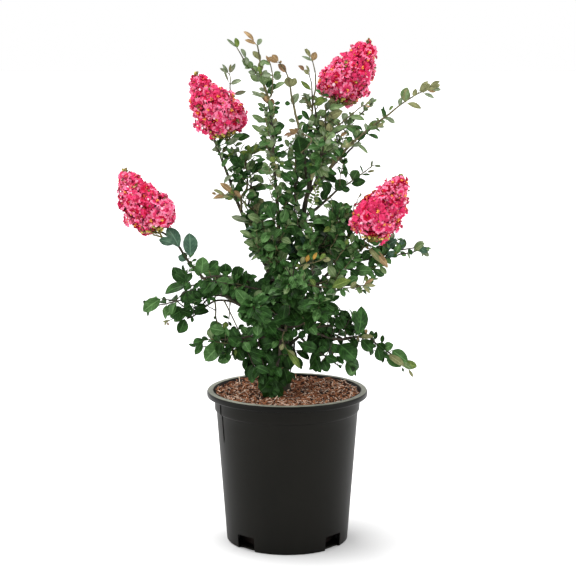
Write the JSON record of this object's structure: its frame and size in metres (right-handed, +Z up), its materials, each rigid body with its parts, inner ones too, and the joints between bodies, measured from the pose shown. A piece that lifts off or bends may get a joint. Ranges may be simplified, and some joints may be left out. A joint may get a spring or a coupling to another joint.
{
  "type": "crape myrtle shrub in nursery pot",
  "caption": "Young multi-stemmed crape myrtle in flower, with pink blossom heads on its outer shoots, standing in a round black plastic nursery pot filled with shredded bark.",
  "frame": {"origin": "centre of the pot's flat underside", "axes": "+Z up along the pot's axis, +X to the plant's right seen from its front, +Y to its back"},
  "size_m": [0.542, 0.3486, 0.879],
  "materials": {
    "pot_plastic": "satin black blow-moulded polyethylene",
    "bark_mulch": "loose shredded red-brown bark",
    "bark": "smooth grey-brown young bark",
    "foliage": "glossy dark green leaves with bronze young tips",
    "blossom": "crinkled pink petals"
  },
  "bodies": {
    "root": {"pot": "pot_plastic", "soil": "bark_mulch", "trunk": "bark", "stem_left": "bark", "stem_spire": "bark", "stem_right": "bark", "bough_right_mid": "bark", "bough_left_arm": "bark", "bough_left_low": "bark", "bough_right_low": "bark", "bough_right_long": "bark", "bough_right_twig": "bark", "bough_bronze": "bark", "bough_centre": "bark", "bough_upper_right": "bark", "bough_left_tuft": "bark", "bough_back_left": "bark", "bough_back_right": "bark", "bough_front": "bark", "panicle_upper_left": "blossom", "panicle_left": "blossom", "panicle_upper_right": "blossom", "panicle_right": "blossom", "foliage_spire_low": "foliage", "foliage_spire_top": "foliage", "foliage_spire_side": "foliage", "foliage_bronze_tip": "foliage", "foliage_centre_tip": "foliage", "foliage_left_tuft": "foliage", "foliage_left_upper": "foliage", "foliage_left_bronze": "foliage", "foliage_upper_core": "foliage", "foliage_upper_right": "foliage", "foliage_right_spray": "foliage", "foliage_right_tip": "foliage", "foliage_right_twig": "foliage", "foliage_inner": "foliage", "foliage_back_top": "foliage", "foliage_front_top": "foliage", "foliage_mid_left": "foliage", "foliage_mid_right": "foliage", "foliage_right_reach": "foliage", "foliage_right_wand": "foliage", "foliage_arm_inner": "foliage", "foliage_arm_outer": "foliage", "foliage_arm_tip": "foliage", "foliage_back_left": "foliage", "foliage_back_right": "foliage", "foliage_front": "foliage", "foliage_core": "foliage", "foliage_back_low_left": "foliage", "foliage_back_low_right": "foliage", "foliage_front_left": "foliage", "foliage_front_right": "foliage", "foliage_low_left": "foliage", "foliage_low_right": "foliage", "foliage_low_arm": "foliage", "foliage_paddle": "foliage", "foliage_foot": "foliage", "foliage_foot_right": "foliage"}
  },
  "joints": []
}
